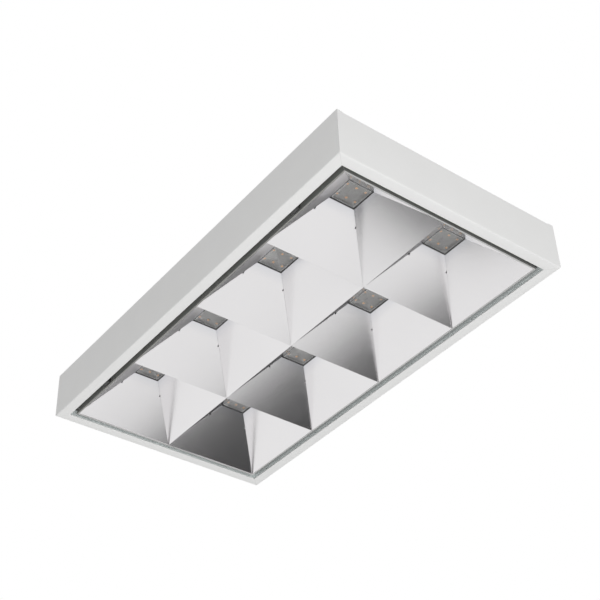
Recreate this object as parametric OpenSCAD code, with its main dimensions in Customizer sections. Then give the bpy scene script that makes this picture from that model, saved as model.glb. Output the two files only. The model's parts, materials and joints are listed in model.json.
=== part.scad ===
// Surface-mounted ceiling luminaire with a louvre of eight pyramid reflector cells.
// The origin is the middle of the ceiling face, +Z points up into the ceiling,
// X runs along the short side and Y along the long side. Millimetres.

/* [Body] */
// Length of the body along its long side
body_length = 600; // [560:5:680]
// Width of the body along its short side
body_width = 324; // [310:2:360]
// Height from the ceiling face to the lower face of the lip
body_height = 64; // [62:1:76]
// Width of the flat lip that frames the louvre
lip_width = 14; // [13:0.5:18]
// Thickness of the folded steel rails
rail_sheet = 1.2; // [0.9:0.1:1.4]
// Outer radius of the fold between the side and the lip
fold_radius = 1.8; // [1.5:0.1:2.4]
// Width of the inward flange that carries the top plate
flange_width = 24; // [22:0.5:26]
// Thickness of the top plate
plate_sheet = 0.8; // [0.6:0.1:1.2]
// How far the end rails stop below the ceiling between their corner lands
end_relief = 1; // [0.5:0.1:1.5]
// Length of each full-height corner land of an end rail
land_length = 8; // [5:1:15]
// Height of the angle brackets in the corners
bracket_height = 40; // [25:1:44]
// Leg length of the angle brackets in the corners
bracket_leg = 22; // [15:1:30]

/* [Trim] */
// Height of the aluminium trim above the lip
trim_height = 9; // [8:0.5:11]
// Thickness of the trim's upright and foot
trim_sheet = 1; // [0.8:0.1:1.2]
// Depth of the trim's two shadow grooves
groove_depth = 0.9; // [0.5:0.1:1]
// Height of the rib between the two grooves
rib_height = 1; // [0.8:0.1:1.4]

/* [Louvre] */
// Shadow gap between the lip and the louvre on the long sides
side_gap = 7.2; // [7:0.1:8]
// Shadow gap between the lip and the louvre at the ends
end_gap = 5.2; // [4:0.1:8]
// Height of the louvre's ridges above the lower face of the lip
ridge_lift = 2; // [1.6:0.1:3]
// Side of the square light window at the top of each cell
window_size = 36; // [30:1:37]
// Thickness of the reflector sheet
reflector_sheet = 0.6; // [0.4:0.1:0.8]
// Width of the seam between a cross blade and a long blade
seam_gap = 0.1; // [0.06:0.02:0.2]
// Half width of the continuous fold along the centre blade's ridge
spine_half = 1; // [0.8:0.1:1.4]
// Height of the upright of the outer blades
rim_height = 20; // [16:1:22]
// Width of the inward fold at the top edge of the outer blades
rim_fold = 6; // [4:0.5:8]
// Width of the hem under the outer blades
hem_width = 1.4; // [1:0.1:2]
// Length of the small notch on each hip of a cross blade
notch_length = 3; // [2:0.5:4]

/* [Light source] */
// Thickness of the circuit boards
board_thickness = 1; // [0.8:0.1:1.2]
// Width of the circuit boards
board_width = 44; // [44:1:52]
// Side of one light-emitting diode
led_size = 3; // [2:0.1:3.5]
// Height of one light-emitting diode
led_height = 0.7; // [0.5:0.1:0.8]
// Spacing of the diodes across the short side
led_spacing_x = 13; // [11:0.5:14]
// Spacing of the two rows of diodes in a cell
led_spacing_y = 19; // [14:0.5:22]
// Outer side of the square lens over each light window
lens_size = 40; // [40:0.5:42]
// Height of the lens from the board to its rim
lens_height = 3.8; // [3.6:0.1:4]
// Depth of the lens's hollow pyramid
lens_dip = 1.8; // [1:0.1:1.8]
// Thickness of the lens's skirt
lens_skirt = 1.2; // [1:0.1:1.4]
// Air gap between the lens and the louvre below it
lens_gap = 0.6; // [0.4:0.1:1]

/* [Driver] */
// Length of the driver's metal case
driver_length = 150; // [120:5:180]
// Width of the driver
driver_width = 42; // [30:1:46]
// Height of the driver
driver_height = 24; // [18:1:26]
// Length of each connection cap at the driver's ends
cap_length = 18; // [14:1:24]
// Distance from the middle of the body to the middle of the driver
driver_offset = 110; // [105:1:120]

/* [Terminal block] */
// Width of the terminal block
block_width = 26; // [25:1:32]
// Length of the terminal block along the wires
block_length = 22; // [21:1:26]
// Height of the terminal block
block_height = 16; // [15:0.5:18]
// Distance from the middle of the body to the middle of the terminal block
block_offset = 40; // [30:1:50]
// Spacing of the poles of the terminal block
pole_spacing = 7.5; // [7.5:0.1:8]
// Radius of a wire entry
wire_entry_r = 1.8; // [1.4:0.1:2]
// Travel of a release button
button_travel = 1.2; // [0.8:0.1:1.5]

/* [Cable entry] */
// Distance from the middle of the body to the cable entry
entry_offset = 85; // [80:1:110]
// Radius of the cable's passage through the grommet
cable_r = 5; // [3:0.5:6]
// Radius of the grommet's neck
neck_r = 9; // [8:0.5:11]
// Width of the grommet's two flanges beyond its neck
grommet_flange = 3; // [2:0.5:4]
// Depth of the pressed recess round the cable entry
recess_depth = 1.6; // [1.4:0.1:2]
// Distance from the middle of the body to the earth stud
earth_offset = 125; // [120:1:150]
// Radius of the earth stud
stud_r = 2; // [1.5:0.5:3]
// Length of the earth stud
stud_length = 12; // [10:1:16]

/* [Hinge] */
// Radius of the hinge pins
pin_r = 1.5; // [1:0.1:1.6]
// Height of the hinge axis above the lower face of the lip
pin_lift = 4.5; // [4.2:0.1:5]
// Distance from the middle of the body to each hinge
hinge_offset = 200; // [120:5:240]
// Length of a hinge knuckle
knuckle_length = 9; // [6:0.5:14]
// Wall of a hinge knuckle round its pin
knuckle_wall = 1; // [0.8:0.1:1.1]
// Thickness of the hinge and catch brackets
bracket_sheet = 1.2; // [1:0.1:1.5]
// Thickness of the hinge leaves and the keepers
leaf_sheet = 0.8; // [0.6:0.1:1]
// Running clearance between a hinge pin and its knuckle
pin_clearance = 0.05; // [0.03:0.01:0.08]

/* [Catches] */
// Distance from the middle of the body to each magnetic catch
catch_offset = 180; // [100:5:240]
// Length of a catch magnet
magnet_length = 16; // [10:1:24]
// Width of a catch magnet
magnet_width = 5; // [4:0.5:5.5]
// Height of a catch magnet
magnet_height = 7; // [5:0.5:10]
// Air gap between a magnet and its keeper
keeper_gap = 0.3; // [0.2:0.1:0.5]

/* [Ceiling fixing] */
// Distance between the fixing slots across the short side
fixing_x = 230; // [220:5:250]
// Distance between the fixing slots along the long side
fixing_y = 460; // [400:5:480]
// Half width of a fixing slot
slot_r = 2.75; // [2:0.25:3.5]
// End-to-end length of a fixing slot
slot_length = 12; // [9:1:16]

/* [Screws] */
// Radius of the screw shanks
screw_r = 1.5; // [1.2:0.1:1.8]
// Radius of the screw heads
head_r = 2.8; // [2.4:0.1:3.2]
// Height of the screw heads
head_height = 1.6; // [1.2:0.1:2]
// Clearance round a screw in its hole
screw_clearance = 0.05; // [0.03:0.01:0.1]

/* [Hidden] */

// Cells across the short side and along the long side
columns = 2;
rows = 4;

// Heights, all counted down from the ceiling face
z_low = -body_height;
z_lip_top = z_low + rail_sheet;
z_plate = -plate_sheet;
z_flange = z_plate - rail_sheet;
z_board = z_plate - board_thickness;
z_lens_rim = z_board - lens_height;
z_window = z_lens_rim - lens_gap;
z_ridge = z_low + ridge_lift;
z_hem = z_ridge - reflector_sheet;
z_rim_top = z_hem + rim_height;

// Louvre grid
rim_half_x = body_width / 2 - lip_width - side_gap;
rim_half_y = body_length / 2 - lip_width - end_gap;
grid_half_x = rim_half_x - reflector_sheet;
grid_half_y = rim_half_y - reflector_sheet;
pitch_x = 2 * grid_half_x / columns;
pitch_y = 2 * grid_half_y / rows;
flank_angle = atan2(z_window - z_ridge, (pitch_x - window_size) / 2);
flank_rise = reflector_sheet / cos(flank_angle);

// Small amounts that keep cuts clean
cut = 1;
edge_r = 0.4;
fit_gap = 0.1;
flat_end = 0.1;

// Trim section
trim_inset = 0.2;
trim_face = lip_width - trim_inset;

// Hinge
knuckle_room = 0.8;
pin_x = -(rim_half_x + (side_gap - knuckle_room) / 2);
pin_z = z_low + pin_lift;
knuckle_r = pin_r + pin_clearance + knuckle_wall;
ear_gap = 0.4;
ear_depth = 7;
hinge_back_height = 24;
ear_room = 1;
z_ear_top = z_lip_top + trim_height + ear_depth + ear_room;
pin_stand = 0.5;
leaf_rise = 14;

// Catch
magnet_stand = 0.5;
bracket_margin = 2;
z_keeper = z_rim_top;
keeper_reach = magnet_width + 2 * magnet_stand;
z_magnet = z_keeper + keeper_gap;
z_shelf = z_magnet + magnet_height;
shelf_drop = 14;

// Lens
lens_floor = 0.9;
lens_ear = 5;
peg_r = 1.2;
recess_half = window_size / 2 + edge_r;

// Board connector
connector_width = 12;
connector_depth = 8;
connector_height = 3.6;
connector_wall = 1.5;
connector_floor = 0.8;
connector_room = 5.6;
connector_step = head_r + connector_room;

// Driver caps
ear_width = 14;
ear_sheet = 2;
port_pitch = 6;
port_width = 3.6;
port_height = 3.2;
port_depth = 8;
port_lift = 7;

// Notches on the hips, as a share of the way from the light window to the ridge
notch_share = 0.22;
notch_width = 1.6;

// Terminal block
button_x = 3.4;
button_y = 5.4;
button_lip = 0.6;
button_gap = 0.3;
button_shoulder = 1.2;
button_stand = 1.5;
button_back = 5;
block_floor = 1.2;
entry_depth = 11;
entry_drop = 7;

// Cable entry
joggle_room = 1;
joggle_r = neck_r + grommet_flange + joggle_room;
grommet_bevel = 1;
grommet_land = 0.9;

// Earth stud
stud_head = 1;
stud_head_r = 2 * stud_r;
nut_height = 1.6 * stud_r;

// Fasteners
plate_screw_rows = 4;
plate_screw_inset = (lip_width + flange_width) / 2;
screw_margin = 1.5;
board_screw_inset = head_r + screw_margin;
board_length = pitch_y * (rows - 1) + lens_size + 2 * (lens_ear + head_r + board_screw_inset + edge_r);
ear_screw_inset = 5;
rivet_r = 1.2;
rivet_head = 0.6;
leaf_rivet_step = knuckle_length / 4;
keeper_rivet_step = magnet_length / 4;
rivet_inset = 3;

fine = 48;

// Where things sit
function cell_x(n) = ((n - 1) % columns - (columns - 1) / 2) * pitch_x;
function cell_y(n) = (floor((n - 1) / columns) - (rows - 1) / 2) * pitch_y;
function arc(x, y, r, from, to, steps = 6) =
    [for (i = [0:steps]) let (a = from + (to - from) * i / steps) [x + r * cos(a), y + r * sin(a)]];

// Folded rail: upright with a hem at the ceiling, a flange for the plate and the lip
rail_section = concat(
    [[0, 0]],
    arc(fold_radius, z_low + fold_radius, fold_radius, 180, 270),
    arc(lip_width - edge_r, z_low + edge_r, edge_r, 270, 360, 3),
    [[lip_width, z_lip_top]],
    arc(fold_radius, z_low + fold_radius, fold_radius - rail_sheet, 270, 180),
    [
        [rail_sheet, z_flange],
        [flange_width, z_flange],
        [flange_width, z_plate],
        [2 * rail_sheet, z_plate],
        [2 * rail_sheet, 0]
    ]
);

// Extruded trim: a foot on the lip and a grooved upright
trim_section = [
    [fold_radius + fit_gap, z_lip_top],
    [trim_face - groove_depth, z_lip_top],
    [trim_face - groove_depth, z_lip_top + trim_sheet],
    [trim_face, z_lip_top + trim_sheet],
    [trim_face, z_lip_top + trim_sheet + rib_height],
    [trim_face - groove_depth, z_lip_top + trim_sheet + rib_height],
    [trim_face - groove_depth, z_lip_top + trim_sheet + 2 * rib_height],
    [trim_face, z_lip_top + trim_sheet + 2 * rib_height],
    [trim_face, z_lip_top + trim_height],
    [trim_face - groove_depth - trim_sheet, z_lip_top + trim_height],
    [trim_face - groove_depth - trim_sheet, z_lip_top + trim_sheet],
    [fold_radius + fit_gap, z_lip_top + trim_sheet]
];

// Outer fold of the side and end blades: a hem, an upright and a fold at the top
rim_section = [
    [0, z_hem],
    [reflector_sheet + hem_width, z_hem],
    [reflector_sheet + hem_width, z_ridge],
    [reflector_sheet, z_ridge],
    [reflector_sheet, z_rim_top - reflector_sheet],
    [rim_fold, z_rim_top - reflector_sheet],
    [rim_fold, z_rim_top],
    [0, z_rim_top]
];

// Continuous fold along the ridge of the centre blade
spine_rise = spine_half * tan(flank_angle);
spine_section = [
    [0, z_ridge],
    [spine_half, z_ridge + spine_rise],
    [spine_half, z_ridge + spine_rise + flank_rise],
    [0, z_ridge + flank_rise],
    [-spine_half, z_ridge + spine_rise + flank_rise],
    [-spine_half, z_ridge + spine_rise]
];

// A section drawn as X inward and Y up, run along Y on the left side and mitred at its ends
module mitred_run(half_span, half_run, depth, section) {
    intersection() {
        translate([-half_span, 0, 0]) rotate([90, 0, 0])
            linear_extrude(2 * half_run, center = true) polygon(section);
        translate([0, 0, z_low - cut]) linear_extrude(body_height + 2 * cut)
            polygon([
                [-half_span, -half_run],
                [-half_span + depth, depth - half_run],
                [-half_span + depth, half_run - depth],
                [-half_span, half_run]
            ]);
    }
}

module rail_run(half_span, half_run) {
    mitred_run(half_span, half_run, flange_width, rail_section);
}

module block(x, y, z, low) {
    translate([-x / 2, -y / 2, low]) cube([x, y, z]);
}

// Hole through the sheets at the ceiling
module drill(x, y, r) {
    translate([x, y, z_board - lens_height]) cylinder(body_height, r = r, $fn = fine);
}

// Screw hanging from a face: head below the face, shank up through the sheets to the ceiling face
module screw(x, y, face) {
    translate([x, y, 0]) {
        translate([0, 0, face - head_height]) cylinder(head_height, r = head_r, $fn = fine);
        translate([0, 0, face - flat_end]) cylinder(-face, r = screw_r, $fn = fine);
    }
}

// Places of the screws that hold the rails' flanges to the plate
side_screw_x = body_width / 2 - plate_screw_inset;
end_screw_y = body_length / 2 - plate_screw_inset;
side_screw_step = body_length / plate_screw_rows;
function side_screw_y(i) = (i - (plate_screw_rows - 1) / 2) * side_screw_step;
end_screw_x = body_width / 4;

module at_side_screws() {
    for (i = [0:plate_screw_rows - 1])
        translate([-side_screw_x, side_screw_y(i), 0]) children();
}

module at_end_screws() {
    for (side = [-1, 1]) translate([side * end_screw_x, -end_screw_y, 0]) children();
}

// Long rail on the left
module left_rail() {
    color("whitesmoke") difference() {
        rail_run(body_width / 2, body_length / 2);
        at_side_screws() drill(0, 0, screw_r + screw_clearance);
    }
}

module right_rail() {
    mirror([1, 0, 0]) left_rail();
}

// End rail, relieved along the ceiling between its corner lands
module front_rail() {
    color("whitesmoke") difference() {
        rotate([0, 0, 90]) rail_run(body_length / 2, body_width / 2);
        translate([land_length - body_width / 2, -body_length / 2 - cut, -end_relief])
            cube([body_width - 2 * land_length, 2 * rail_sheet + fit_gap + cut, end_relief + cut]);
        at_end_screws() drill(0, 0, screw_r + screw_clearance);
    }
}

module back_rail() {
    mirror([0, 1, 0]) front_rail();
}

module left_trim() {
    color("slategray") mitred_run(body_width / 2, body_length / 2, lip_width, trim_section);
}

module right_trim() {
    mirror([1, 0, 0]) left_trim();
}

module front_trim() {
    color("slategray") rotate([0, 0, 90])
        mitred_run(body_length / 2, body_width / 2, lip_width, trim_section);
}

module back_trim() {
    mirror([0, 1, 0]) front_trim();
}

// Angle in the corner at the left and front
module corner_bracket() {
    z_top = z_flange - fit_gap;
    translate([rail_sheet - body_width / 2, rail_sheet - body_length / 2, z_top - bracket_height]) {
        cube([bracket_sheet, bracket_leg, bracket_height]);
        cube([bracket_leg, bracket_sheet, bracket_height]);
    }
}

module corner_brackets() {
    color("silver") for (flip_x = [0, 1], flip_y = [0, 1])
        mirror([flip_x, 0, 0]) mirror([0, flip_y, 0]) corner_bracket();
}

module fixing_slot() {
    translate([0, 0, z_plate - cut]) linear_extrude(plate_sheet + 2 * cut) {
        for (side = [-1, 1]) translate([side * (slot_length / 2 - slot_r), 0])
            circle(slot_r, $fn = fine);
        square([slot_length - 2 * slot_r, 2 * slot_r], center = true);
    }
}

// Places of the screws that hold each circuit board: between the cells and at the ends
board_end_y = board_length / 2 - board_screw_inset;
board_screw_y = [-board_end_y, -pitch_y, 0, pitch_y, board_end_y];

module at_board_screws() {
    for (side = [-1, 1], y = board_screw_y)
        translate([side * cell_x(columns), y, 0]) children();
}

module at_driver_screws() {
    for (side = [-1, 1])
        translate([0, -driver_offset + side * (driver_length / 2 + cap_length + ear_screw_inset), 0])
            children();
}

// Section of the pressed recess, from the plate down to the floor that holds the grommet
recess_section = [
    [neck_r + fit_gap / 2, -recess_depth],
    [joggle_r, -recess_depth],
    [joggle_r, 0],
    [joggle_r + plate_sheet + fit_gap, 0],
    [joggle_r + plate_sheet + fit_gap, z_plate],
    [joggle_r + plate_sheet, z_plate],
    [joggle_r + plate_sheet, -recess_depth - plate_sheet],
    [neck_r + fit_gap / 2, -recess_depth - plate_sheet]
];

module top_plate() {
    color("gainsboro") union() {
        difference() {
            block(
                body_width - 4 * rail_sheet - 2 * fit_gap,
                body_length - 4 * rail_sheet - 2 * fit_gap,
                plate_sheet,
                z_plate
            );
            for (x = [-1, 1], y = [-1, 1])
                translate([x * fixing_x / 2, y * fixing_y / 2, 0]) fixing_slot();
            for (flip = [0, 1]) {
                mirror([flip, 0, 0]) at_side_screws() drill(0, 0, screw_r + screw_clearance);
                mirror([0, flip, 0]) at_end_screws() drill(0, 0, screw_r + screw_clearance);
            }
            at_board_screws() drill(0, 0, screw_r + screw_clearance);
            at_driver_screws() drill(0, 0, screw_r + screw_clearance);
            drill(0, earth_offset, stud_r + screw_clearance);
            drill(0, entry_offset, joggle_r + plate_sheet);
        }
        translate([0, entry_offset, 0]) rotate_extrude($fn = 96) polygon(recess_section);
    }
}

module plate_screws() {
    color("silver") for (flip = [0, 1]) {
        mirror([flip, 0, 0]) at_side_screws() screw(0, 0, z_flange);
        mirror([0, flip, 0]) at_end_screws() screw(0, 0, z_flange);
    }
}

module led_board(side) {
    x = side * cell_x(columns);
    color("ivory") difference() {
        translate([x, 0, 0]) block(board_width, board_length, board_thickness, z_board);
        at_board_screws() drill(0, 0, screw_r + screw_clearance);
        for (n = [1:columns * rows], end = [-1, 1])
            drill(cell_x(n), cell_y(n) + end * (lens_size + lens_ear) / 2, peg_r + screw_clearance);
    }
}

module led_board_left() {
    led_board(-1);
}

module led_board_right() {
    led_board(1);
}

module led_chips() {
    color("orange") for (n = [1:columns * rows], i = [-1:1], j = [-1, 1])
        translate([cell_x(n) + i * led_spacing_x, cell_y(n) + j * led_spacing_y / 2, 0])
            block(led_size, led_size, led_height, z_board - led_height);
}

// Plug connector on each board, beside the screw between two cells
module board_connectors() {
    color("white") for (side = [-1, 1])
        translate([side * cell_x(columns), connector_step + connector_depth / 2, 0]) difference() {
            block(connector_width, connector_depth, connector_height, z_board - connector_height);
            translate([0, -connector_depth / 2, 0])
                block(
                    connector_width - 2 * connector_wall,
                    connector_depth,
                    connector_height - 2 * connector_floor,
                    z_board - connector_height + connector_floor
                );
        }
}

module board_screws() {
    color("silver") at_board_screws() screw(0, 0, z_board);
}

// Clear lens: a skirt on the board, a hollow pyramid below and two ears with pegs
module lens(n) {
    dip_section = [
        [-recess_half, z_lens_rim - cut],
        [recess_half, z_lens_rim - cut],
        [recess_half, z_lens_rim],
        [0, z_lens_rim + lens_dip],
        [-recess_half, z_lens_rim]
    ];
    room = lens_size - 2 * lens_skirt;
    color("lightblue", 0.5) translate([cell_x(n), cell_y(n), 0]) difference() {
        union() {
            block(lens_size, lens_size, lens_height, z_lens_rim);
            block(lens_size / 3, lens_size + 2 * lens_ear, lens_skirt, z_board - lens_skirt);
            for (end = [-1, 1]) translate([0, end * (lens_size + lens_ear) / 2, z_board - flat_end])
                cylinder(board_thickness, r = peg_r, $fn = fine);
        }
        intersection() {
            rotate([90, 0, 0]) linear_extrude(lens_size, center = true) polygon(dip_section);
            rotate([90, 0, 90]) linear_extrude(lens_size, center = true) polygon(dip_section);
        }
        block(room, room, lens_height, z_lens_rim + lens_dip + lens_floor);
    }
}

// Driver case with chamfered lower edges
driver_chamfer = 2.5;
driver_section = [
    [-driver_width / 2, z_plate],
    [-driver_width / 2, z_plate - driver_height + driver_chamfer],
    [driver_chamfer - driver_width / 2, z_plate - driver_height],
    [driver_width / 2 - driver_chamfer, z_plate - driver_height],
    [driver_width / 2, z_plate - driver_height + driver_chamfer],
    [driver_width / 2, z_plate]
];

module driver_case() {
    color("white") translate([0, -driver_offset, 0]) rotate([90, 0, 0])
        linear_extrude(driver_length, center = true) polygon(driver_section);
}

// End cap of the driver with wire ports and a fixing ear
module driver_cap(ports) {
    color("dimgray") difference() {
        union() {
            translate([0, cap_length / 2, 0]) rotate([90, 0, 0])
                linear_extrude(cap_length, center = true) polygon(driver_section);
            translate([0, cap_length + ear_screw_inset, 0])
                block(ear_width, 2 * ear_screw_inset, ear_sheet, z_plate - ear_sheet);
        }
        drill(0, cap_length + ear_screw_inset, screw_r + screw_clearance);
        for (i = [0:ports - 1]) translate([(i - (ports - 1) / 2) * port_pitch, cap_length, 0])
            block(port_width, 2 * port_depth, port_height, z_plate - driver_height + port_lift);
    }
}

module driver_input_cap() {
    translate([0, driver_length / 2 - driver_offset, 0]) driver_cap(3);
}

module driver_output_cap() {
    translate([0, -driver_length / 2 - driver_offset, 0]) mirror([0, 1, 0]) driver_cap(4);
}

module driver_screws() {
    color("silver") at_driver_screws() screw(0, 0, z_plate - ear_sheet);
}

// Terminal block with three round wire entries and three button shafts
z_block = z_plate - block_height;
poles = 3;
function pole_x(i) = (i - (poles - 1) / 2) * pole_spacing;
button_room_x = button_x + 2 * button_lip + 2 * button_gap;
button_room_y = button_y + 2 * button_lip + 2 * button_gap;

module terminal_block() {
    color("white") translate([0, block_offset, 0]) difference() {
        block(block_width, block_length, block_height, z_block);
        for (i = [0:poles - 1]) {
            translate([pole_x(i), block_length / 2 + cut, z_plate - entry_drop]) rotate([90, 0, 0])
                cylinder(entry_depth + cut, r = wire_entry_r, $fn = fine);
            translate([pole_x(i), -button_back, 0]) {
                block(button_x + 2 * button_gap, button_y + 2 * button_gap, 2 * cut + block_floor,
                    z_block - cut);
                block(button_room_x, button_room_y, button_travel + button_shoulder + 2 * button_gap,
                    z_block + block_floor);
            }
        }
    }
}

// Release button with a shoulder that keeps it in the block
module button(i) {
    color("darkorange") translate([pole_x(i), block_offset - button_back, 0]) {
        block(button_x, button_y, button_stand + block_floor + button_gap + flat_end,
            z_block - button_stand);
        block(button_x + 2 * button_lip, button_y + 2 * button_lip, button_shoulder,
            z_block + block_floor + button_gap);
    }
}

module live_button() {
    button(0);
}

module neutral_button() {
    button(1);
}

module earth_button() {
    button(2);
}

// Rubber ring in the pressed recess
module cable_grommet() {
    wide = neck_r + grommet_flange;
    color("dimgray") translate([0, entry_offset, 0]) rotate_extrude($fn = 96) polygon([
        [cable_r, flat_end - recess_depth + grommet_land],
        [wide, flat_end - recess_depth + grommet_land],
        [wide, -recess_depth],
        [neck_r, -recess_depth],
        [neck_r, -recess_depth - plate_sheet],
        [wide, -recess_depth - plate_sheet],
        [wide - grommet_bevel, -recess_depth - plate_sheet - grommet_flange / 2],
        [cable_r, -recess_depth - plate_sheet - grommet_flange]
    ]);
}

module earth_stud() {
    color("goldenrod") translate([0, earth_offset, 0]) {
        translate([0, 0, -stud_length - flat_end]) cylinder(stud_length, r = stud_r, $fn = fine);
        translate([0, 0, z_plate - stud_head]) cylinder(stud_head, r = stud_head_r, $fn = fine);
    }
}

module earth_nut() {
    color("gold") translate([0, earth_offset, z_plate - stud_head - nut_height]) difference() {
        cylinder(nut_height, r = stud_head_r, $fn = 6);
        translate([0, 0, -cut]) cylinder(nut_height + 2 * cut, r = stud_r + screw_clearance, $fn = fine);
    }
}

// Bracket on the left rail: a back, and two ears that reach over the trim and down to the pin
module hinge_bracket() {
    back_x = rail_sheet - body_width / 2;
    inner = knuckle_length / 2 + ear_gap;
    color("silver") {
        translate([back_x, -inner - bracket_sheet, z_ear_top - ear_depth])
            cube([bracket_sheet, 2 * (inner + bracket_sheet), hinge_back_height]);
        for (side = [-1, 1]) translate([0, side * (inner + bracket_sheet / 2), 0]) rotate([90, 0, 0])
            linear_extrude(bracket_sheet, center = true) difference() {
                union() {
                    translate([back_x, z_ear_top - ear_depth])
                        square([pin_x + knuckle_r - back_x, ear_depth]);
                    translate([pin_x - knuckle_r, pin_z])
                        square([2 * knuckle_r, z_ear_top - pin_z]);
                    translate([pin_x, pin_z]) circle(knuckle_r, $fn = fine);
                }
                translate([pin_x, pin_z]) circle(pin_r + pin_clearance, $fn = fine);
            }
    }
}

module hinge_bracket_front() {
    translate([0, -hinge_offset, 0]) hinge_bracket();
}

module hinge_bracket_back() {
    translate([0, hinge_offset, 0]) hinge_bracket();
}

module hinge_pins() {
    pin_length = knuckle_length + 2 * (ear_gap + bracket_sheet + pin_stand);
    color("dimgray") for (side = [-1, 1]) translate([pin_x, side * hinge_offset, pin_z])
        rotate([90, 0, 0]) cylinder(pin_length, r = pin_r, center = true, $fn = fine);
}

// Leaf on the louvre: a knuckle round the pin and a plate on the rim
module hinge_leaf() {
    color("dimgray") difference() {
        union() {
            translate([pin_x, 0, pin_z]) rotate([90, 0, 0])
                cylinder(knuckle_length, r = knuckle_r, center = true, $fn = fine);
            translate([pin_x, -knuckle_length / 2, pin_z])
                cube([-rim_half_x - pin_x, knuckle_length, knuckle_r]);
            translate([-rim_half_x - leaf_sheet, -knuckle_length / 2, pin_z])
                cube([leaf_sheet, knuckle_length, leaf_rise]);
        }
        translate([pin_x, 0, pin_z]) rotate([90, 0, 0])
            cylinder(2 * knuckle_length, r = pin_r + pin_clearance, center = true, $fn = fine);
    }
}

module hinge_leaf_front() {
    translate([0, -hinge_offset, 0]) hinge_leaf();
}

module hinge_leaf_back() {
    translate([0, hinge_offset, 0]) hinge_leaf();
}

// Bracket on the right rail: a back and a shelf that carries the magnet
module catch_bracket() {
    wall_x = body_width / 2 - rail_sheet;
    half_length = magnet_length / 2 + bracket_margin;
    color("silver") {
        translate([wall_x - bracket_sheet, -half_length, z_shelf - shelf_drop])
            cube([bracket_sheet, 2 * half_length, shelf_drop + bracket_sheet]);
        translate([rim_half_x, -half_length, z_shelf])
            cube([wall_x - rim_half_x, 2 * half_length, bracket_sheet]);
    }
}

module catch_magnet() {
    color("dimgray") translate([rim_half_x + magnet_stand, -magnet_length / 2, z_magnet])
        cube([magnet_width, magnet_length, magnet_height]);
}

// Keeper on the louvre: a plate on the rim and a tab under the magnet
module keeper() {
    color("gray") translate([rim_half_x, -magnet_length / 2, z_keeper - leaf_sheet]) {
        cube([keeper_reach, magnet_length, leaf_sheet]);
        translate([0, 0, -leaf_rise + leaf_sheet]) cube([leaf_sheet, magnet_length, leaf_rise]);
    }
}

module catch_bracket_front() {
    translate([0, -catch_offset, 0]) catch_bracket();
}

module catch_bracket_back() {
    translate([0, catch_offset, 0]) catch_bracket();
}

module catch_magnet_front() {
    translate([0, -catch_offset, 0]) catch_magnet();
}

module catch_magnet_back() {
    translate([0, catch_offset, 0]) catch_magnet();
}

module keeper_front() {
    translate([0, -catch_offset, 0]) keeper();
}

module keeper_back() {
    translate([0, catch_offset, 0]) keeper();
}

// One flat flank of a cell on its side towards +X, from the light window down to the ridge
module flank(across, along, seam) {
    inner = window_size / 2;
    rise = z_window - z_ridge;
    back_step = flank_rise * (across - inner) / rise;
    intersection() {
        rotate([90, 0, 0]) linear_extrude(2 * along, center = true) polygon([
            [inner, z_window],
            [across, z_ridge],
            [across, z_ridge + flank_rise],
            [inner + back_step, z_window]
        ]);
        translate([0, 0, z_low]) linear_extrude(body_height) polygon([
            [inner, seam - inner],
            [across, seam - along],
            [across, along - seam],
            [inner, inner - seam]
        ]);
    }
}

module long_flank() {
    flank(pitch_x / 2, pitch_y / 2, 0);
}

// Flank on the side towards +Y, which stops short of the long blades at its ends and is notched
// on both hips
module cross_flank() {
    stop = spine_half + seam_gap;
    notch_x = window_size / 2 + notch_share * (pitch_x - window_size) / 2;
    notch_y = window_size / 2 + notch_share * (pitch_y - window_size) / 2;
    notch_z = z_window - notch_share * (z_window - z_ridge);
    difference() {
        intersection() {
            rotate([0, 0, 90]) flank(pitch_y / 2, pitch_x / 2, seam_gap);
            translate([stop - pitch_x / 2, 0, z_low]) cube([pitch_x - 2 * stop, pitch_y, body_height]);
        }
        for (side = [-1, 1]) translate([side * notch_x, notch_y, 0])
            block(notch_width, notch_length, 2 * notch_length, notch_z - notch_length);
    }
}

// Long blade in the middle: a flank for every cell on both sides of one folded ridge
module centre_blade() {
    color("gainsboro") union() {
        for (n = [1:columns * rows]) translate([cell_x(n), cell_y(n), 0])
            mirror([cell_x(n) > 0 ? 1 : 0, 0, 0]) long_flank();
        rotate([90, 0, 0]) linear_extrude(2 * (grid_half_y - hem_width - fit_gap), center = true)
            polygon(spine_section);
    }
}

// V-folded blade between cell n and the next cell of its column
module cross_blade(n) {
    color("gainsboro") union() {
        translate([cell_x(n), cell_y(n), 0]) cross_flank();
        translate([cell_x(n), cell_y(n + columns), 0]) mirror([0, 1, 0]) cross_flank();
    }
}

// Outer blade along the left: a flank for every row, folded up outside as a stiff rim
module left_side_blade() {
    color("gainsboro") union() {
        mitred_run(rim_half_x, rim_half_y, rim_fold + hem_width, rim_section);
        for (row = [0:rows - 1]) translate([cell_x(1), cell_y(1 + columns * row), 0])
            mirror([1, 0, 0]) long_flank();
    }
}

module right_side_blade() {
    mirror([1, 0, 0]) left_side_blade();
}

// Outer blade at the front: a flank for every column, folded up outside as a stiff rim
module front_end_blade() {
    color("gainsboro") union() {
        rotate([0, 0, 90]) mitred_run(rim_half_y, rim_half_x, rim_fold + hem_width, rim_section);
        for (n = [1:columns]) translate([cell_x(n), cell_y(n), 0]) mirror([0, 1, 0]) cross_flank();
    }
}

module back_end_blade() {
    mirror([0, 1, 0]) front_end_blade();
}

// Flat rivet heads on the hinge leaves and the keepers
module rivet() {
    rotate([0, 90, 0]) cylinder(rivet_head, r = rivet_r, $fn = fine);
}

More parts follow.
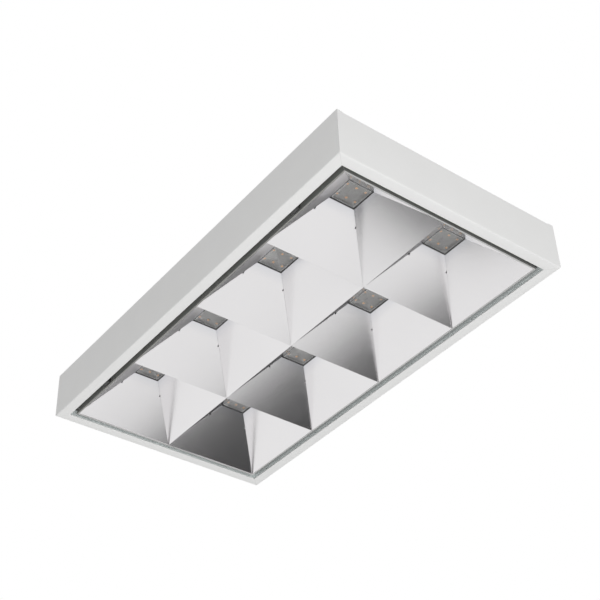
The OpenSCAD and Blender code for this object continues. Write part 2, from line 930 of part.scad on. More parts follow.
module louvre_rivets() {
    leaf_x = -rim_half_x - leaf_sheet - rivet_head;
    leaf_z = pin_z + leaf_rise - rivet_inset;
    keeper_z = z_keeper - leaf_rise + rivet_inset;
    color("silver") for (end = [-1, 1], side = [-1, 1]) {
        translate([leaf_x, end * hinge_offset + side * leaf_rivet_step, leaf_z]) rivet();
        translate([rim_half_x + leaf_sheet, end * catch_offset + side * keeper_rivet_step, keeper_z])
            rivet();
    }
}

top_plate();
left_rail();
right_rail();
front_rail();
back_rail();
left_trim();
right_trim();
front_trim();
back_trim();
corner_brackets();
plate_screws();
led_board_left();
led_board_right();
led_chips();
board_connectors();
board_screws();
lens(1);  // lens_1
lens(2);  // lens_2
lens(3);  // lens_3
lens(4);  // lens_4
lens(5);  // lens_5
lens(6);  // lens_6
lens(7);  // lens_7
lens(8);  // lens_8
driver_case();
driver_input_cap();
driver_output_cap();
driver_screws();
terminal_block();
live_button();
neutral_button();
earth_button();
cable_grommet();
earth_stud();
earth_nut();
hinge_bracket_front();
hinge_bracket_back();
hinge_pins();
catch_bracket_front();
catch_bracket_back();
catch_magnet_front();
catch_magnet_back();
centre_blade();
cross_blade(1);  // cross_blade_1
cross_blade(2);  // cross_blade_2
cross_blade(3);  // cross_blade_3
cross_blade(4);  // cross_blade_4
cross_blade(5);  // cross_blade_5
cross_blade(6);  // cross_blade_6
left_side_blade();
right_side_blade();
front_end_blade();
back_end_blade();
hinge_leaf_front();
hinge_leaf_back();
keeper_front();
keeper_back();
louvre_rivets();
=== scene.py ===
"""Looks of a surface-mounted louvre ceiling luminaire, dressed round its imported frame.

Units are metres. The row frame has its origin in the middle of the ceiling face, +Z into the
ceiling, X across the body and Y along it.
"""
import json
import logging
import math
from dataclasses import dataclass, field
from enum import Enum

import bpy
import numpy as np
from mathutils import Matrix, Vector


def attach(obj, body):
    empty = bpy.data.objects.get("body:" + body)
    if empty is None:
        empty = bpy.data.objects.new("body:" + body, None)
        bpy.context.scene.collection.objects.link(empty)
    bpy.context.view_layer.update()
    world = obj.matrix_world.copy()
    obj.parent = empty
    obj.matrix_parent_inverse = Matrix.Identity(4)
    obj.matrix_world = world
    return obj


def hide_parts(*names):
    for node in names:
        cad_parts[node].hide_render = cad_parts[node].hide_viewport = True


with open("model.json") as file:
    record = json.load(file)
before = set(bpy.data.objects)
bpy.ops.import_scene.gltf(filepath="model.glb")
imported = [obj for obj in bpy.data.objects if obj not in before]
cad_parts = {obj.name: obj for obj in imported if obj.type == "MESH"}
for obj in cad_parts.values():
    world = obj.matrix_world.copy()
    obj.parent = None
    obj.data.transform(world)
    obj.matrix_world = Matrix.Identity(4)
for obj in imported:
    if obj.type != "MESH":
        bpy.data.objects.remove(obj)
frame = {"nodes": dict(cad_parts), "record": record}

LOG = logging.getLogger("luminaire")
MM = 0.001
# Vertices of a CAD mesh that round to the same multiples of WELD are one vertex.
WELD = 0.002 * MM
# Vertices that differ in height by less than LEVEL are at one level.
LEVEL = 0.05 * MM
# The corners of the LEDs are rounded to multiples of CORNER.
CORNER = 0.01 * MM

Triple = tuple[float, float, float]
Colour = Triple
Number = "float | Wire"


def vertices_of(node: str) -> np.ndarray:
    """Reads the vertices of a CAD node.

    Args:
        node: The CAD node's name.

    Returns:
        One row of X, Y and Z per vertex.
    """
    mesh = frame["nodes"][node].data
    points = np.empty(len(mesh.vertices) * 3, np.float32)
    mesh.vertices.foreach_get("co", points)
    return points.reshape(-1, 3)


def lowest_of(node: str) -> np.ndarray:
    """Reads the vertices of a CAD node's lowest level, one per row."""
    points = vertices_of(node)
    return points[points[:, 2] < points[:, 2].min() + LEVEL]


@dataclass(frozen=True)
class Box:
    """The box round one or more CAD nodes.

    Attributes:
        low: Its lowest X, Y and Z.
        high: Its highest X, Y and Z.
    """

    low: Triple
    high: Triple

    @classmethod
    def of(cls, *nodes: str) -> "Box":
        """Measures the box round CAD nodes."""
        points = np.vstack([vertices_of(node) for node in nodes]).astype(float)
        return cls(tuple(points.min(axis=0)), tuple(points.max(axis=0)))


RAILS = Box.of("left_rail", "right_rail", "front_rail", "back_rail")
TRIMS = Box.of("left_trim", "right_trim", "front_trim", "back_trim")
RIM = Box.of("left_side_blade", "right_side_blade", "front_end_blade", "back_end_blade")
# The lens of one of the four cells that lie round the middle of the body.
INNER_LENS = Box.of("lens_6")


class Wire:
    """An output socket on which Python's operators add Math nodes."""

    def __init__(self, graph: "Graph", socket: bpy.types.NodeSocket) -> None:
        """Keeps the socket and the graph that it belongs to."""
        self.graph = graph
        self.socket = socket

    def math(self, operation: str, *values: Number) -> "Wire":
        """Adds one Math node.

        Args:
            operation: The Math node's operation.
            values: The node's inputs in order.

        Returns:
            The node's result.
        """
        return self.graph.add("ShaderNodeMath", dict(enumerate(values)), operation=operation)

    def __add__(self, other: Number) -> "Wire":
        """self + other"""
        return self.math("ADD", self, other)

    def __sub__(self, other: Number) -> "Wire":
        """self - other"""
        return self.math("SUBTRACT", self, other)

    def __rsub__(self, other: Number) -> "Wire":
        """other - self"""
        return self.math("SUBTRACT", other, self)

    def __mul__(self, other: Number) -> "Wire":
        """self * other"""
        return self.math("MULTIPLY", self, other)

    def __truediv__(self, other: Number) -> "Wire":
        """self / other"""
        return self.math("DIVIDE", self, other)

    def __abs__(self) -> "Wire":
        """The absolute value."""
        return self.math("ABSOLUTE", self)

    __radd__ = __add__
    __rmul__ = __mul__

    def lower(self, other: Number) -> "Wire":
        """The smaller of self and other."""
        return self.math("MINIMUM", self, other)

    def higher(self, other: Number) -> "Wire":
        """The larger of self and other."""
        return self.math("MAXIMUM", self, other)

    def fraction(self) -> "Wire":
        """What is left past the last whole number."""
        return self.math("FRACT", self)

    def step(self, start: float, end: float) -> "Wire":
        """Turns the value into a smooth step, clamped outside its ends.

        Args:
            start: The value at which the step is 0.
            end: The value at which the step is 1.

        Returns:
            The step, from 0 to 1.
        """
        return self.graph.add(
            "ShaderNodeMapRange",
            {"Value": self, "From Min": start, "From Max": end, "To Min": 0.0, "To Max": 1.0},
            interpolation_type="SMOOTHSTEP",
        )


class Graph:
    """A node tree that grows by calls and expressions."""

    def __init__(self, tree: bpy.types.NodeTree) -> None:
        """Starts from an empty tree."""
        self.tree = tree
        tree.nodes.clear()

    def add(self, kind: str, inputs: dict | None = None, output: int | str = 0, **settings) -> Wire:
        """Adds any node.

        Args:
            kind: The node's type.
            inputs: Values or wires by socket name or number.
            output: Which output to return.
            settings: The node's own settings, set before its sockets.

        Returns:
            The chosen output.
        """
        node = self.tree.nodes.new(kind)
        for name, value in settings.items():
            setattr(node, name, value)
        self.feed(node, inputs or {})
        outputs = [s for s in node.outputs if s.enabled] if isinstance(output, int) else node.outputs
        return Wire(self, outputs[output]) if len(node.outputs) else Wire(self, None)

    def feed(self, node: bpy.types.Node, inputs: dict) -> None:
        """Sets or links a node's inputs.

        Args:
            node: The node.
            inputs: Values or wires by socket name or number.
        """
        for key, value in inputs.items():
            socket = node.inputs[key]
            if isinstance(value, Wire):
                self.tree.links.new(value.socket, socket)
            else:
                socket.default_value = value

    def mix(self, share: Number, first: "Colour | Wire", second: "Colour | Wire") -> Wire:
        """Mixes two colours.

        Args:
            share: 0 for the first colour, 1 for the second.
            first: A colour or a wire.
            second: A colour or a wire.

        Returns:
            The mixed colour.
        """
        node = self.tree.nodes.new("ShaderNodeMix")
        node.data_type = "RGBA"
        ends = [c if isinstance(c, Wire) else (*c, 1.0) for c in (first, second)]
        self.feed(node, {0: share, 6: ends[0], 7: ends[1]})
        return Wire(self, node.outputs[2])

    def point(self, scale: Triple = (1.0, 1.0, 1.0)) -> Wire:
        """The object coordinates, stretched along each axis."""
        where = self.add("ShaderNodeTexCoord", output="Object")
        return self.add("ShaderNodeMapping", {"Vector": where, "Scale": scale})

    def axes(self) -> list[Wire]:
        """Takes the object coordinates apart.

        Returns:
            The wires of X, Y and Z.
        """
        where = self.add("ShaderNodeTexCoord", output="Object")
        first = self.add("ShaderNodeSeparateXYZ", {0: where})
        return [Wire(self, s) for s in first.socket.node.outputs]

    def noise(self, scale: float, detail: float = 2.0, stretch: Triple = (1.0, 1.0, 1.0)) -> Wire:
        """A noise from 0 to 1.

        Args:
            scale: Features per metre.
            detail: Octaves.
            stretch: Factors on the coordinates, for rolled and brushed surfaces.

        Returns:
            The noise value.
        """
        return self.add(
            "ShaderNodeTexNoise",
            {"Vector": self.point(stretch), "Scale": scale, "Detail": detail, "Roughness": 0.55},
        )


@dataclass(frozen=True)
class Finish:
    """A surface finish with mottled colour, uneven gloss and a fine relief.

    Attributes:
        name: The material's name.
        colour: The base colour.
        roughness: The middle roughness.
        metallic: 1 for bare metal.
        mottle: How far the colour varies.
        mottle_scale: Colour patches per metre.
        patch: Noise values at which a patch is fully dark and fully light.
        gloss_spread: How far the roughness varies.
        gloss_scale: Patches of roughness beside one patch of colour.
        gloss_patch: Noise values at which a patch is fully smooth and fully rough.
        grain_scale: Relief features per metre.
        grain_depth: Height of the relief in metres.
        stretch: Factors on the coordinates of the relief.
        constants: Sockets of the shader that are the same all over.
    """

    name: str
    colour: Colour
    roughness: float
    metallic: float = 0.0
    mottle: float = 0.03
    mottle_scale: float = 60.0
    patch: tuple[float, float] = (0.3, 0.7)
    gloss_spread: float = 0.06
    gloss_scale: float = 4.0
    gloss_patch: tuple[float, float] = (0.25, 0.75)
    grain_scale: float = 1500.0
    grain_depth: float = 0.004 * MM
    stretch: Triple = (1.0, 1.0, 1.0)
    constants: dict = field(default_factory=dict)

    def tint(self, g: Graph) -> Wire:
        """Makes the colour, darker and lighter by patches of noise.

        Args:
            g: The material's graph.

        Returns:
            The colour.
        """
        dark = tuple(c * (1.0 - self.mottle) for c in self.colour)
        light = tuple(min(1.0, c * (1.0 + self.mottle)) for c in self.colour)
        patches = g.noise(self.mottle_scale, detail=3.0, stretch=self.stretch)
        return g.mix(patches.step(*self.patch), dark, light)

    def gloss(self, g: Graph) -> Wire:
        """The roughness, uneven by noise that is finer than the patches of colour."""
        patches = g.noise(self.mottle_scale * self.gloss_scale, stretch=self.stretch)
        return (patches.step(*self.gloss_patch) - 0.5) * self.gloss_spread + self.roughness

    def metal(self, g: Graph) -> Number:
        """1 for bare metal and 0 for anything else."""
        return self.metallic

    def relief(self, g: Graph) -> Wire:
        """The height of the surface, in metres."""
        return g.noise(self.grain_scale, detail=3.0, stretch=self.stretch) * self.grain_depth

    def surface(self, g: Graph) -> Wire:
        """Makes the shader that the colour, the gloss and the relief go into.

        Args:
            g: The material's graph.

        Returns:
            The shader.
        """
        bump = g.add("ShaderNodeBump", {"Height": self.relief(g), "Distance": 1.0, "Strength": 1.0})
        return g.add("ShaderNodeBsdfPrincipled", {
            "Base Color": self.tint(g),
            "Roughness": self.gloss(g),
            "Metallic": self.metal(g),
            "Normal": bump,
            **self.constants,
        })

    def build(self) -> bpy.types.Material:
        """Makes the material, under a name that no material slot of the frame has.

        Returns:
            The material, shared by every piece of this finish.
        """
        label = "finish." + self.name
        found = bpy.data.materials.get(label)
        if found is not None:
            return found
        material = bpy.data.materials.new(label)
        material.use_nodes = True
        g = Graph(material.node_tree)
        g.add("ShaderNodeOutputMaterial", {"Surface": self.surface(g)})
        return material


@dataclass(frozen=True)
class PowderCoat(Finish):
    """White powder coat with an orange-peel relief and hairline seams at the body's mitres.

    Attributes:
        half_x: Half of the body's width.
        half_y: Half of the body's length.
        seam: Half width of a mitre's seam.
        seam_shade: Brightness of the seam beside the coat.
        seam_depth: Depth of the seam.
    """

    half_x: float = RAILS.high[0]
    half_y: float = RAILS.high[1]
    seam: float = 0.16 * MM
    seam_shade: float = 0.45
    seam_depth: float = 0.02 * MM

    def off_mitre(self, g: Graph) -> Wire:
        """The difference between the distances to the two sides that meet at a corner."""
        x, y, _ = g.axes()
        return abs((self.half_x - abs(x)) - (self.half_y - abs(y)))

    def tint(self, g: Graph) -> Wire:
        """The coat's colour, darker in the hairline of each mitre."""
        seam = tuple(c * self.seam_shade for c in self.colour)
        return g.mix(self.off_mitre(g).step(0.0, self.seam), seam, super().tint(g))

    def relief(self, g: Graph) -> Wire:
        """Orange peel, sunk at the seams."""
        return super().relief(g) + self.off_mitre(g).step(0.0, self.seam) * self.seam_depth


@dataclass(frozen=True)
class SolderMask(Finish):
    """Dark solder mask with the raised pattern of broad conductors under it.

    Attributes:
        pitch: Spacing of the conductors.
        gap: Half width of the line between two conductors, with its soft edge.
        gap_shade: Brightness of the mask between two conductors beside the rest.
        rise: Height of the conductors.
    """

    pitch: float = 6.5 * MM
    gap: float = 0.5 * MM
    gap_shade: float = 0.72
    rise: float = 0.03 * MM

    def lines(self, g: Graph) -> Wire:
        """Finds the conductors, which run along both axes.

        The distance from a line is that of the fraction of (axis / pitch) from one half, times
        the pitch.

        Args:
            g: The material's graph.

        Returns:
            1 on a conductor and 0 in the line between two.
        """
        x, y, _ = g.axes()
        masks = [
            (abs((axis / self.pitch).fraction() - 0.5) * self.pitch).step(self.gap * 0.5, self.gap)
            for axis in (x, y)
        ]
        return masks[0] * masks[1]

    def tint(self, g: Graph) -> Wire:
        """The mask is a little lighter over the conductors."""
        dark = tuple(c * self.gap_shade for c in self.colour)
        return g.mix(self.lines(g), dark, super().tint(g))

    def relief(self, g: Graph) -> Wire:
        """The conductors' thickness under the mask."""
        return super().relief(g) + self.lines(g) * self.rise


@dataclass(frozen=True)
class GroovedTrim(Finish):
    """Anodised trim with painted shadow lines in its two grooves.

    Attributes:
        grooves: Heights of the middles of the grooves.
        half: Half height of a groove.
        blur: Half height of the soft edge of a painted shadow line.
        shade: Brightness of the painted shadow in a groove beside the rest.
    """

    grooves: tuple[float, float] = (TRIMS.low[2] + 0.5 * MM, TRIMS.low[2] + 2.5 * MM)
    half: float = 0.4 * MM
    blur: float = 0.2 * MM
    shade: float = 0.55

    def tint(self, g: Graph) -> Wire:
        """Makes the colour, with painted shade in the grooves.

        Args:
            g: The material's graph.

        Returns:
            The colour.
        """
        _, _, height = g.axes()
        lower, upper = self.grooves
        off = abs(height - lower).lower(abs(height - upper))
        # Painted shade: the colour is darkened in the grooves, where shadow falls.
        dark = tuple(c * self.shade for c in self.colour)
        return g.mix(off.step(self.half - self.blur, self.half + self.blur), dark, super().tint(g))


@dataclass(frozen=True)
class Cells:
    """The places of the eight cells: two columns, and four cells along each.

    Attributes:
        middle_x: Distance from the middle of the body to the middle of a column.
        pitch_y: Spacing of the cells along the body.
    """

    middle_x: float = (INNER_LENS.low[0] + INNER_LENS.high[0]) * 0.5
    pitch_y: float = INNER_LENS.low[1] + INNER_LENS.high[1]

    def off_middle(self, g: Graph) -> tuple[Wire, Wire]:
        """Measures how far a point is from the middle of its cell.

        Across the body the middles are at middle_x on both sides. Along it they are half a pitch
        before and half a pitch behind the place one pitch away, on both sides too.

        Args:
            g: The material's graph.

        Returns:
            The distances across the body and along it.
        """
        x, y, _ = g.axes()
        across = abs(abs(x) - self.middle_x)
        along = abs(abs(abs(y) - self.pitch_y) - self.pitch_y * 0.5)
        return across, along


@dataclass(frozen=True)
class RolledMetal(Finish):
    """Satin reflector sheet: rolling lines, fine grain, slow waves and painted shade.

    Attributes:
        wave_scale: Waves of the sheet per metre.
        wave_depth: Height of the waves in metres.
        line_scale: Rolling lines per metre.
        line_depth: Depth of the rolling lines in metres.
        line_stretch: Factors on the coordinates that draw the lines out.
        rim_x: Half of the louvre's width.
        rim_y: Half of the louvre's length.
        hem: Width of the hem under the rim.
        hem_z: Height of the middle of the hem's sheet, which is 0.6 mm thick.
        hem_shade_share: How far the hem takes the outer faces' painted shade.
        blur: Half width of the soft edge of the outer faces' colour.
        painted_rim_shade: Painted shade colour of the outer faces, which lie in shade.
        mill_gloss: How much rougher the outer faces are.
        rim_shade_matt: How far the outer faces lose their metal, so the painted shade shows.
        cells: The places of the cells.
        window: Half of a light window's side.
        painted_window_shade: Painted shade at a window's edge, for the dark window it reflects.
        window_shade_fade: Where the painted shade starts and ends to fade, away from a window's
            side.
    """

    wave_scale: float = 9.0
    wave_depth: float = 0.06 * MM
    line_scale: float = 650.0
    line_depth: float = 0.005 * MM
    line_stretch: Triple = (1.0, 0.3, 1.0)
    rim_x: float = RIM.high[0]
    rim_y: float = RIM.high[1]
    hem: float = 2.0 * MM
    hem_z: float = RIM.low[2] + 0.3 * MM
    hem_shade_share: float = 0.6
    blur: float = 0.06 * MM
    painted_rim_shade: Colour = (0.30, 0.30, 0.285)
    mill_gloss: float = 0.2
    rim_shade_matt: float = 0.75
    cells: Cells = Cells()
    window: float = 18.0 * MM
    painted_window_shade: Colour = (0.745, 0.748, 0.775)
    window_shade_fade: tuple[float, float] = (-3.3 * MM, 11.0 * MM)

    def outer(self, g: Graph) -> Wire:
        """Finds the outer faces of the rim and its hem, which take painted shade.

        Args:
            g: The material's graph.

        Returns:
            1 on the outer faces, hem_shade_share on the hem and 0 on the rest of the sheet.
        """
        x, y, z = g.axes()
        past = (abs(x) - self.rim_x).higher(abs(y) - self.rim_y)
        under = (self.hem_z - z).step(-self.blur, self.blur)
        hem = (past + self.hem).step(-self.blur, self.blur) * under
        return past.step(-2.0 * self.blur, -self.blur).higher(hem * self.hem_shade_share)

    def tint(self, g: Graph) -> Wire:
        """Makes the colour, with painted shade beside the windows and darker on the outer faces.

        Args:
            g: The material's graph.

        Returns:
            The colour.
        """
        across, along = self.cells.off_middle(g)
        # Painted shade: the sheet is tinted darker near each window, for the dark window that it
        # reflects.
        away = (across.higher(along) - self.window).step(*self.window_shade_fade)
        inner = g.mix(away, self.painted_window_shade, super().tint(g))
        # Painted shade: the outer faces and the hem take a dark grey colour.
        return g.mix(self.outer(g), inner, self.painted_rim_shade)

    def gloss(self, g: Graph) -> Wire:
        """The roughness, higher on the outer faces."""
        return super().gloss(g) + self.outer(g) * self.mill_gloss

    def metal(self, g: Graph) -> Wire:
        """Bare metal, but less metallic on the outer faces, so that their painted shade shows."""
        return 1.0 - self.outer(g) * self.rim_shade_matt

    def relief(self, g: Graph) -> Wire:
        """Lays waves, rolling lines and grain over each other.

        Args:
            g: The material's graph.

        Returns:
            The height of the surface, in metres.
        """
        waves = g.noise(self.wave_scale, detail=1.0) * self.wave_depth
        lines = g.noise(self.line_scale, stretch=self.line_stretch) * self.line_depth
        return super().relief(g) + waves + lines


@dataclass(frozen=True)
class ClearLens(Finish):
    """Clear moulded lens: painted highlight lines on its hips and rim, and a painted black shade
    round it.

    Attributes:
        cells: The places of the cells, which are also those of the lenses.
        hip_line: Half width of the painted highlight on a hip, inside its soft edge and with it.
        rim: Distance from a lens's middle to the painted highlight at the pyramid's rim.
        rim_line: Half width of the painted highlight at the rim, inside its soft edge and with it.
        hip_end: How far past the rim's middle the painted highlights on the hips fade out.
        border: Distance from a lens's middle to the painted black shade of the gap round it.
        border_blur: Half width of the border's soft edge.
        highlight_share: How far the painted highlight lines hide what is behind them.
        highlight_tints: Colours of the painted highlight lines, by patches.
        highlight_roughness: The roughness of the painted highlight lines.
        ink: Colour of the painted shade of the dark gap round the lens.
    """

    cells: Cells = Cells()
    hip_line: tuple[float, float] = (0.18 * MM, 0.45 * MM)
    rim: float = 15.8 * MM
    rim_line: tuple[float, float] = (0.3 * MM, 0.5 * MM)
    hip_end: float = 0.1 * MM
    border: float = 16.3 * MM
    border_blur: float = 0.08 * MM
    highlight_share: float = 0.38
    highlight_tints: tuple[Colour, Colour] = ((0.80, 0.80, 0.80), (0.86, 0.86, 0.86))
    highlight_roughness: float = 0.4
    ink: Colour = (0.012, 0.012, 0.012)

    def tint(self, g: Graph) -> Wire:
        """Makes the clear colour, and black painted shade past the pyramid's rim.

        Args:
            g: The material's graph.

        Returns:
            The colour.
        """
        across, along = self.cells.off_middle(g)
        far = across.higher(along)
        # Painted shade: black past the border, for the dark gap between the lens and the louvre.
        edge = far.step(self.border - self.border_blur, self.border + self.border_blur)
        return g.mix(edge, super().tint(g), self.ink)

    def lines(self, g: Graph) -> Wire:
        """Finds the hips and the rim of the pyramid, where the highlight is painted.

        A hip is where both distances from the lens's middle are equal. The rim is where the
        larger of them is the value of that name.

        Args:
            g: The material's graph.

        Returns:
            1 on the painted highlight lines and 0 beside them.
        """
        across, along = self.cells.off_middle(g)
        far = across.higher(along)
        inside = 1.0 - far.step(self.rim, self.rim + self.hip_end)
        hips = (1.0 - abs(across - along).step(*self.hip_line)) * inside
        rim = 1.0 - abs(far - self.rim).step(*self.rim_line)
        return hips.higher(rim)

    def surface(self, g: Graph) -> Wire:
        """Makes the clear shader, with the painted highlight lines laid over it.

        Args:
            g: The material's graph.

        Returns:
            The shader.
        """
        white = g.add("ShaderNodeBsdfPrincipled", {
            "Base Color": g.mix(g.noise(self.mottle_scale), *self.highlight_tints),
            "Roughness": self.highlight_roughness,
        })
        # Painted highlight: a white shader mixed in along the hips and the rim.
        share = self.lines(g) * self.highlight_share
        return g.add("ShaderNodeMixShader", {0: share, 1: super().surface(g), 2: white})


@dataclass(frozen=True)
class FloorPaper(Finish):
    """Pale paper that the camera sees nearly white.

    Attributes:
        glow: Share of plain white in what the camera sees.
    """

    glow: float = 0.82

    def surface(self, g: Graph) -> Wire:
        """Makes the paper's shader, with plain white laid over it for the camera alone.

        Args:
            g: The material's graph.

        Returns:
            The shader.
        """
        seen = g.add("ShaderNodeLightPath", output="Is Camera Ray") * self.glow
        white = g.add("ShaderNodeEmission", {"Color": (1.0, 1.0, 1.0, 1.0), "Strength": 1.0})
        return g.add("ShaderNodeMixShader", {0: seen, 1: super().surface(g), 2: white})


WHITE_COAT = dict(
    colour=(0.87, 0.87, 0.862), roughness=0.42, mottle=0.006, mottle_scale=25.0,
    grain_scale=900.0, grain_depth=0.012 * MM, constants={"Specular IOR Level": 0.45})
SATIN_SHEET = dict(
    colour=(0.857, 0.846, 0.853), metallic=1.0, mottle=0.008, mottle_scale=12.0,
    grain_scale=1400.0, grain_depth=0.0022 * MM)


class Look(Enum):
    """The finishes of the luminaire, and the papers of the studio."""

    COAT = PowderCoat("powder_coat", **WHITE_COAT)
    PLATE_COAT = Finish("plate_coat", **WHITE_COAT)
    REFLECTOR = RolledMetal("reflector_sheet", roughness=0.15, gloss_spread=0.008, **SATIN_SHEET)
    # Shaded copy of the reflector sheet: its hem takes the full painted shade, and it is rougher.
    HINGE_SIDE = RolledMetal(
        "hinge_side_sheet", roughness=0.36, gloss_spread=0.03, hem_shade_share=1.0, **SATIN_SHEET)
    # Partly painted light: the colour is raised near white so that the trim, in the shade of the
    # gap, reads bright; its teal tint is its own.
    TRIM = GroovedTrim(
        "trim_anodised", (0.93, 0.985, 0.98), 0.36, 0.06, mottle=0.015, grain_scale=1200.0,
        grain_depth=0.002 * MM)
    LENS = ClearLens(
        "lens_clear", (0.97, 0.97, 0.965), 0.05, mottle=0.004, gloss_spread=0.008,
        grain_scale=300.0, grain_depth=0.0006 * MM,
        constants={"Transmission Weight": 1.0, "IOR": 1.49, "Specular IOR Level": 0.5,
                   "Coat Weight": 1.0, "Coat IOR": 1.5, "Coat Roughness": 0.08})
    MASK = SolderMask("solder_mask", (0.16, 0.155, 0.15), 0.38, mottle=0.05)
    LED_FRAME = Finish("led_frame", (0.62, 0.42, 0.24), 0.5, mottle=0.03, mottle_scale=900.0)
    PHOSPHOR = Finish(
        "led_phosphor", (0.80, 0.34, 0.06), 0.35, mottle=0.08, mottle_scale=1500.0,
        constants={"Coat Weight": 0.6, "Coat Roughness": 0.15})
    ZINC = Finish(
        "zinc_plate", (0.64, 0.66, 0.69), 0.34, 1.0, mottle=0.07, mottle_scale=180.0,
        gloss_spread=0.14, grain_scale=2500.0, grain_depth=0.003 * MM)
    DARK_ZINC = Finish(
        "dark_zinc", (0.075, 0.076, 0.074), 0.46, 0.5, mottle=0.08, mottle_scale=220.0,
        gloss_spread=0.1, grain_scale=2500.0, grain_depth=0.003 * MM)
    NICKEL = Finish(
        "magnet_nickel", (0.66, 0.64, 0.61), 0.2, 1.0, mottle=0.05, mottle_scale=400.0)
    CASE = Finish(
        "driver_coat", (0.78, 0.78, 0.77), 0.45, mottle=0.02, mottle_scale=40.0,
        grain_scale=1100.0, grain_depth=0.01 * MM)
    CAP = Finish(
        "driver_cap", (0.075, 0.08, 0.085), 0.52, mottle=0.1, grain_scale=2600.0,
        grain_depth=0.012 * MM)
    WHITE_MOULDING = Finish(
        "white_moulding", (0.82, 0.81, 0.78), 0.36, mottle=0.02, grain_scale=2200.0,
        grain_depth=0.004 * MM, constants={"Subsurface Weight": 0.05})
    BUTTON = Finish(
        "orange_moulding", (0.86, 0.25, 0.03), 0.32, mottle=0.04, grain_scale=2400.0,
        grain_depth=0.003 * MM)
    RUBBER = Finish(
        "grommet_rubber", (0.03, 0.03, 0.031), 0.68, mottle=0.15, grain_scale=1800.0,
        grain_depth=0.02 * MM)
    BRASS = Finish(
        "stud_brass", (0.74, 0.55, 0.26), 0.28, 1.0, mottle=0.08, mottle_scale=300.0,
        gloss_spread=0.12, grain_scale=3000.0, stretch=(1.0, 1.0, 6.0))
    FLOOR = FloorPaper("floor_paper", (0.86, 0.86, 0.86), 0.9, mottle=0.01, mottle_scale=3.0)
    CARD = Finish("card_paper", (0.045, 0.045, 0.046), 0.9, mottle=0.02, mottle_scale=3.0)


def make_mesh(name: str, points: np.ndarray, faces: list[np.ndarray]) -> bpy.types.Object:
    """Puts arrays into a mesh object.

    Args:
        name: The piece's name.
        points: Vertices, one per row.
        faces: Arrays of vertex numbers, each with one face size.

    Returns:
        The new object, in the scene.
    """
    mesh = bpy.data.meshes.new(name)
    loops = np.concatenate([f.ravel() for f in faces]).astype(np.int32)
    sizes = np.concatenate([np.full(len(f), f.shape[1]) for f in faces]).astype(np.int32)
    starts = np.concatenate([[0], np.cumsum(sizes)[:-1]]).astype(np.int32)
    mesh.vertices.add(len(points))
    mesh.vertices.foreach_set("co", points.astype(np.float32).ravel())
    mesh.loops.add(len(loops))
    mesh.loops.foreach_set("vertex_index", loops)
    mesh.polygons.add(len(sizes))
    mesh.polygons.foreach_set("loop_start", starts)
    mesh.update(calc_edges=True)
    mesh.validate()
    piece = bpy.data.objects.new(name, mesh)
    bpy.context.scene.collection.objects.link(piece)
    return piece


@dataclass
class Solid:
    """Vertices and faces that can be copied to many places before they become a mesh.

    Attributes:
        points: One row of X, Y and Z per vertex.
        quads: One row of four vertex numbers per face.
        triangles: One row of three vertex numbers per face.
    """

    points: np.ndarray
    quads: np.ndarray
    triangles: np.ndarray

    @classmethod
    def from_rings(cls, rings: np.ndarray) -> "Solid":
        """Joins closed rings of points, with a pole at each end.

        Ring i and ring i + 1 are joined by a band of quads, and the first and the last ring are
        closed by a fan of triangles round their middles.

        Args:
            rings: Array of rings by points by 3. They wind anticlockwise seen from outside the
                last ring.

        Returns:
            The closed solid.
        """
        count, around = rings.shape[:2]
        index = np.arange(count * around).reshape(count, around)
        after = np.roll(index, -1, axis=1)
        bands = np.stack([index[:-1], after[:-1], after[1:], index[1:]], axis=-1).reshape(-1, 4)
        start, end = count * around, count * around + 1
        first = np.stack([np.full(around, start), after[0], index[0]], axis=-1)
        last = np.stack([np.full(around, end), index[-1], after[-1]], axis=-1)
        points = np.vstack([rings.reshape(-1, 3), rings[0].mean(0), rings[-1].mean(0)])
        return cls(points, bands, np.vstack([first, last]))

    def at(self, places: np.ndarray) -> "Solid":
        """Copies the solid to each place.

        Args:
            places: One row of X, Y and Z per copy.

        Returns:
            All the copies as one solid.
        """
        steps = np.arange(len(places))[:, None, None] * len(self.points)
        return Solid(
            (self.points[None] + places[:, None]).reshape(-1, 3),
            (self.quads[None] + steps).reshape(-1, 4),
            (self.triangles[None] + steps).reshape(-1, 3),
        )

    def make(self, name: str) -> bpy.types.Object:
        """Makes the mesh object."""
        return make_mesh(name, self.points, [self.quads, self.triangles])


def circle(radius: float, around: int) -> np.ndarray:
    """Points on a circle: radius times cosine and sine of equal turns."""
    turn = np.arange(around) * (2.0 * np.pi / around)
    return radius * np.column_stack([np.cos(turn), np.sin(turn)])


def soft_square(half: float, power: float, around: int) -> np.ndarray:
    """Sets points on a superellipse: |x|^power + |y|^power = half^power.

    Args:
        half: Half of the square's side.
        power: 2 for a circle, and more for sharper corners.
        around: Number of points, at equal turns.

    Returns:
        One row of X and Y per point.
    """
    turn = np.arange(around) * (2.0 * np.pi / around)
    cos, sin = np.cos(turn), np.sin(turn)
    reach = (np.abs(cos) ** power + np.abs(sin) ** power) ** (-1.0 / power)
    return half * np.column_stack([reach * cos, reach * sin])


def ring(outline: np.ndarray, height: float) -> np.ndarray:
    """An outline at one height."""
    return np.column_stack([outline, np.full(len(outline), height)])


def finish_piece(piece: bpy.types.Object, look: Look, smooth_angle: float = 35.0) -> None:
    """Gives a new piece its material and its smooth and sharp edges.

    Args:
        piece: The piece.
        look: Its finish.
        smooth_angle: Edges sharper than this many degrees stay sharp.
    """
    piece.data.materials.clear()
    piece.data.materials.append(look.value.build())
    piece.data.shade_smooth()
    piece.data.set_sharp_from_angle(angle=math.radians(smooth_angle))


def body_of(node: str) -> str:
    """The CAD body that carries a node."""
    bodies = frame["record"]["behaviour"]["bodies"]
    return next(body for body, nodes in bodies.items() if node in nodes)


